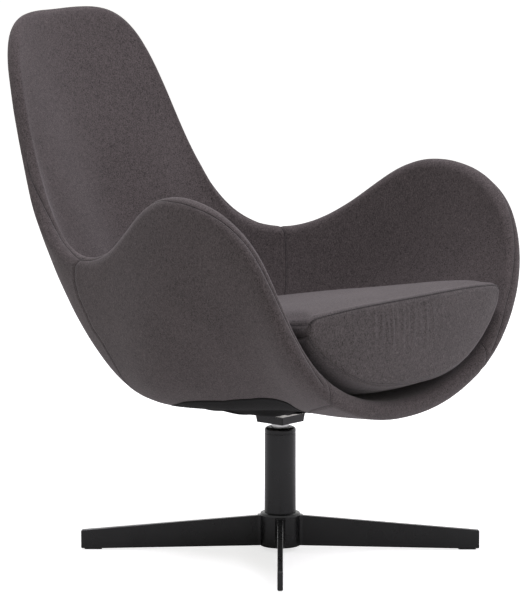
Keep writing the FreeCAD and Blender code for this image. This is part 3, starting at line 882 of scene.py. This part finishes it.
class ARMCHAIR_OT_dust_cover(bpy.types.Operator):
    """Black lining stretched under the seat"""
    bl_idname = "armchair.dust_cover"
    bl_label = "Dust cover"

    def execute(self, context):
        half = context.scene.armchair_tub.wall / 2
        low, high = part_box("seat_board")
        level = low.z - BOARD_GAP
        t = np.arange(LINING_STEPS) * ROUND / LINING_STEPS
        reach = np.interp(from_back(t), *zip(*LINING_EDGE))
        rows = [tub_point(t, reach * (1 - f), half + LINING_GAP)
                for f in np.linspace(0, 1, 22)[:-1]]
        ring = tub_point(t, 0 * t, half + LINING_GAP)
        d = np.hypot(ring[:, 0], ring[:, 1])
        hole = np.stack([ring[:, 0] / d * LINING_HOLE, ring[:, 1] / d * LINING_HOLE, 0 * d], 1)
        turn = np.arctan2(ring[:, 1], ring[:, 0])
        for f in np.linspace(0, 1, 44):
            p = ring + (hole - ring) * f
            p[:, 2] = ring[:, 2] + (level - ring[:, 2]) * f ** 0.5
            rows.append(p)
        rows = np.array(rows) + AXIS
        mid, size = (low + high) / 2, (high - low) / 2
        out = np.abs(rows[..., :2] - (mid.x, mid.y)) - (size.x - BOARD_INSET, size.y - BOARD_INSET)
        past = np.hypot(*np.maximum(out, 0).transpose(2, 0, 1)) - BOARD_ROUND
        held = (level - rows[..., 2]) * ease(1 - past / BOARD_ROUND)
        rows[..., 2] += np.minimum(held, 0)
        sag = LINING_SAG * np.sin(np.pi * np.clip((np.arange(len(rows)) - 12) / 52, 0, 1))[:, None]
        rows[..., 2] -= sag * (1 + 0.5 * np.sin(turn * 13 + 2 * np.sin(turn * 3)))
        lining = cloth_material("black lining", (0.006, 0.006, 0.006), 0.3, 0.1, seams=False,
                                sheen=0.03)
        sheet = new_piece("lining_sheet", [tuple(p) for p in rows.reshape(-1, 3)], [],
                          quads(*rows.shape[:2], True), lining)
        skin = sheet.modifiers.new("thickness", "SOLIDIFY")
        skin.thickness = LINING_THICK
        skin.offset = 0
        apply_modifiers(sheet)
        bpy.ops.object.shade_smooth()
        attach(sheet, "seat")
        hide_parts("dust_cover")
        return {"FINISHED"}


# Cap of the column in metres: bore, chamfer at its mouth, and the groove above the tube
POST_R, BORE_GAP, MOUTH = 0.016, 0.0001, 0.001
GROOVE_DEEP, GROOVE_LOW, GROOVE_HIGH, GROOVE_LIP = 0.0009, 0.0004, 0.0020, 0.0026
COLLAR_STEPS = 96


class ARMCHAIR_OT_collar(bpy.types.Operator):
    """Turned cap of the column, with a round shoulder and a shadow groove"""
    bl_idname = "armchair.collar"
    bl_label = "Column collar"

    def execute(self, context):
        _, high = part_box("column_cap")
        base, top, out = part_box("column_tube")[1].z, high.z, high.x
        coat = context.scene.armchair_base.coat
        shoulder = context.scene.armchair_base.cap_round
        bore = POST_R + BORE_GAP
        side = [(bore, base), (bore, top - MOUTH), (bore + MOUTH, top), (out - shoulder * 1.3, top)]
        side += [(out - shoulder * (1.3 - 1.3 * sin(a)), top - shoulder * (1 - cos(a)))
                 for a in np.linspace(0.2, pi / 2, 9)]
        side += [(out, base + GROOVE_LIP), (out - GROOVE_DEEP, base + GROOVE_HIGH),
                 (out - GROOVE_DEEP, base + GROOVE_LOW), (out - 0.0005, base)]
        n = len(side)
        collar = new_piece("column_collar", [(r, AXIS[1], z) for r, z in side],
                           [(k, (k + 1) % n) for k in range(n)], [],
                           metal_material("collar moulding", coat, 0.0, 0.26, 0.1, 900.0, 0.0001))
        only(collar)
        bpy.ops.object.mode_set(mode="EDIT")
        bpy.ops.mesh.select_all(action="SELECT")
        bpy.ops.mesh.spin(steps=COLLAR_STEPS, angle=2 * pi, center=tuple(AXIS), axis=(0, 0, 1))
        bpy.ops.object.mode_set(mode="OBJECT")
        merge_and_turn_out(DOUBLES)
        bpy.ops.object.shade_smooth_by_angle(angle=radians(40))
        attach(collar, "base")
        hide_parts("column_cap")
        return {"FINISHED"}


class ARMCHAIR_OT_metalwork(bpy.types.Operator):
    """Finishes of the column, the star base and the hidden fittings"""
    bl_idname = "armchair.metalwork"
    bl_label = "Metalwork"

    def execute(self, context):
        coat = context.scene.armchair_base.coat
        black = metal_material("satin black coat", coat, 0.0, 0.28, 0.12, 1400.0, 0.0002)
        give(black, "hub", "leg_front", "leg_right", "leg_rear", "leg_left", "column_tube",
             "swivel_tray")
        plastic = metal_material("black moulding", coat, 0.0, 0.3, 0.1, 900.0, 0.0002)
        give(plastic, "lower_bush", "thrust_disc", "glide_pads")
        zinc = metal_material("zinc plate", (0.62, 0.61, 0.58), 0.85, 0.42, 0.12, 300.0, 0.0004)
        give(zinc, "mounting_plate", "mounting_bolts", "board_nuts", "end_washer", "retaining_clip")
        give(turned_material("ground steel", (0.6, 0.6, 0.6)), "swivel_post")
        give(ply_material(), "seat_board")
        return {"FINISHED"}


# ---------- stage ----------

FLOOR_SIZE, FLOOR_Z, FLOOR_GLOW = 40, -0.0005, 0.7
EVEN_LIGHT = (1, 0.99, 0.93, 1)
COOL, WARM = (1, 0.97, 1.07), (1, 0.95, 0.9)
# Name, place, point aimed at, size, share of the main lamp's power, and tint
LAMPS = [("key", (0.8, -2.8, 3.2), (0, 0, 0.5), (2.0, 2.0), 0.78, COOL),
         ("far side", (3.0, -1.8, 2.4), (0, 0, 0.6), (1.4, 2.4), 0.33, COOL),
         ("high left", (-1.0, 0.2, 3.9), (0.3, 0, 0.5), (1.6, 1.6), 0.85, COOL),
         ("strip", (-4.2, -1.6, 1.0), (0, 0, 0.3), (0.15, 2.0), 0.035, WARM),
         ("top", (0.2, 0.3, 3.8), (0, 0, 0.4), (3.0, 3.0), 0.75, COOL)]
LENS, CAMERA_DOWN, CAMERA_TURN = 276.0, 8.77, 49.807


def lamp(name, place, aim, size, power, tint):
    """Soft rectangular lamp turned towards a point."""
    data = bpy.data.lights.new(name, "AREA")
    data.color = tint
    data.shape, data.size, data.size_y, data.energy = "RECTANGLE", size[0], size[1], power
    obj = bpy.data.objects.new(name, data)
    obj.location = place
    obj.rotation_euler = (Vector(aim) - Vector(place)).to_track_quat("-Z", "Y").to_euler()
    bpy.context.scene.collection.objects.link(obj)


def switched(tree, factor, usual, special):
    """The usual shader, and the special one where the factor is 1."""
    mix = node(tree, "MixShader")
    for socket, value in zip(mix.inputs, (factor, usual, special)):
        tree.links.new(value, socket)
    return mix.outputs[0]


class ARMCHAIR_OT_stage(bpy.types.Operator):
    """Pale floor, even studio light and the camera"""
    bl_idname = "armchair.stage"
    bl_label = "Stage"

    def execute(self, context):
        look = context.scene.armchair_stage
        deselect()
        bpy.ops.mesh.primitive_grid_add(x_subdivisions=4, y_subdivisions=4, size=FLOOR_SIZE,
                                        location=(0, 0, FLOOR_Z))
        floor = context.object
        floor.name = "floor"
        bpy.ops.object.transform_apply(location=True, rotation=True, scale=True)
        mat = bpy.data.materials.new("pale floor")
        mat.use_nodes = True
        tree = mat.node_tree
        tree.nodes.clear()
        out = tree.nodes.new("ShaderNodeOutputMaterial")
        paint = node(tree, "BsdfDiffuse")
        paint.inputs["Color"].default_value = (*look.floor, 1)
        glow = node(tree, "Emission", Strength=FLOOR_GLOW)
        both = node(tree, "AddShader")
        tree.links.new(paint.outputs[0], both.inputs[0])
        tree.links.new(glow.outputs[0], both.inputs[1])
        path = node(tree, "LightPath")
        seen = switched(tree, path.outputs["Is Camera Ray"], paint.outputs[0], both.outputs[0])
        tree.links.new(seen, out.inputs[0])
        floor.data.materials.append(mat)

        world = bpy.data.worlds.new("studio")
        context.scene.world = world
        world.use_nodes = True
        tree = world.node_tree
        tree.nodes.clear()
        out = tree.nodes.new("ShaderNodeOutputWorld")
        even = node(tree, "Background", Strength=look.sky)
        even.inputs["Color"].default_value = EVEN_LIGHT
        white = node(tree, "Background", Strength=1.0)
        white.inputs["Color"].default_value = (1, 1, 1, 1)
        path = node(tree, "LightPath")
        seen = path.outputs["Is Camera Ray"]
        for name in ("Is Glossy Ray", "Is Transmission Ray"):
            seen = math_node(tree, "MAXIMUM", seen, path.outputs[name])
        tree.links.new(switched(tree, seen, even.outputs[0], white.outputs[0]), out.inputs[0])

        for name, place, aim, size, share, tint in LAMPS:
            lamp(name, place, aim, size, look.key * share, tint)

        data = bpy.data.cameras.new("camera")
        data.lens, data.sensor_width, data.sensor_fit = LENS, 36.0, "AUTO"
        data.clip_start, data.clip_end = 0.5, 60
        camera = bpy.data.objects.new("camera", data)
        camera.location = (-6.308, -5.293 + AXIS[1], 1.732)
        camera.rotation_euler = (radians(90 - CAMERA_DOWN), 0, -radians(CAMERA_TURN))
        context.scene.collection.objects.link(camera)
        context.scene.camera = camera
        context.scene.view_settings.view_transform = "Standard"
        return {"FINISHED"}


class ARMCHAIR_PT_panel(bpy.types.Panel):
    """Sizes, colours and pieces of the armchair"""
    bl_label = "Armchair"
    bl_idname = "ARMCHAIR_PT_panel"
    bl_space_type = "VIEW_3D"
    bl_region_type = "UI"
    bl_category = "Armchair"

    def draw(self, context):
        column = self.layout.column()
        for group, names in SHOWN:
            settings = getattr(context.scene, group)
            for name in names:
                column.prop(settings, name)
        for piece in PIECES:
            column.operator(piece.bl_idname)


SHOWN = [("armchair_tub", ("wall", "seam_depth", "cloth")),
         ("armchair_cushion", ("crown", "bulge", "gathers", "cloth")),
         ("armchair_base", ("coat", "cap_round")),
         ("armchair_stage", ("floor", "sky", "key"))]
SETTINGS = {"armchair_tub": TubSettings, "armchair_cushion": CushionSettings,
            "armchair_base": BaseSettings, "armchair_stage": StageSettings}
PIECES = [ARMCHAIR_OT_stage, ARMCHAIR_OT_metalwork, ARMCHAIR_OT_collar, ARMCHAIR_OT_tub,
          ARMCHAIR_OT_cushion, ARMCHAIR_OT_dust_cover]


def register():
    for cls in [*SETTINGS.values(), *PIECES, ARMCHAIR_PT_panel]:
        bpy.utils.register_class(cls)
    for name, cls in SETTINGS.items():
        setattr(bpy.types.Scene, name, bpy.props.PointerProperty(type=cls))


def unregister():
    for name in SETTINGS:
        delattr(bpy.types.Scene, name)
    for cls in [ARMCHAIR_PT_panel, *reversed(PIECES), *SETTINGS.values()]:
        bpy.utils.unregister_class(cls)


def main():
    register()
    bpy.ops.armchair.stage()
    bpy.ops.armchair.metalwork()
    bpy.ops.armchair.collar()
    bpy.ops.armchair.tub()
    bpy.ops.armchair.cushion()
    bpy.ops.armchair.dust_cover()


if __name__ == "__main__":
    main()
